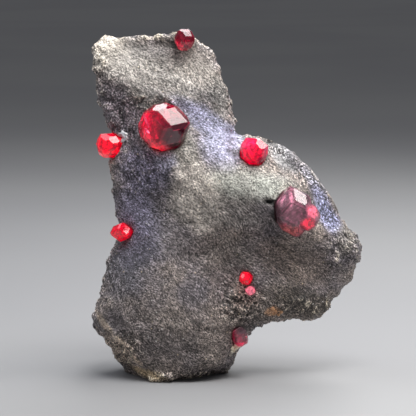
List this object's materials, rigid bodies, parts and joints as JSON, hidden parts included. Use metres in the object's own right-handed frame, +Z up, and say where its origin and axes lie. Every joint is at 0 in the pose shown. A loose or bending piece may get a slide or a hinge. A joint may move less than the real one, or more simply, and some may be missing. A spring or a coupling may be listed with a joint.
{
  "type": "garnet in matrix",
  "caption": "Thick slab of dark mica schist that stands on its broken lower edge, with faceted deep red garnet crystals of several sizes set in its front and along its rims.",
  "frame": {"origin": "under the middle of the object, on the plane that it stands on", "axes": "+Z up, -Y the side that the crystals face, +X to the right seen from that side"},
  "size_m": [0.078, 0.0388, 0.1001],
  "materials": {
    "schist": "rough broken rock of fine mica and quartz grains that glitter, grey with warm, brown and bluish parts",
    "garnet_red": "clear bright red crystal with glossy faces, cracks and paler veils inside",
    "garnet_dark": "clear but very deep red crystal with glossy faces"
  },
  "bodies": {
    "root": {"schist_matrix": "schist", "large_garnet": "garnet_red", "left_edge_garnet": "garnet_red", "left_lower_garnet": "garnet_red", "right_upper_garnet": "garnet_red", "small_upper_garnet": "garnet_red", "small_lower_garnet": "garnet_red", "top_garnet": "garnet_dark", "right_garnet_pair": "garnet_dark", "bottom_edge_garnet": "garnet_dark"}
  },
  "joints": []
}
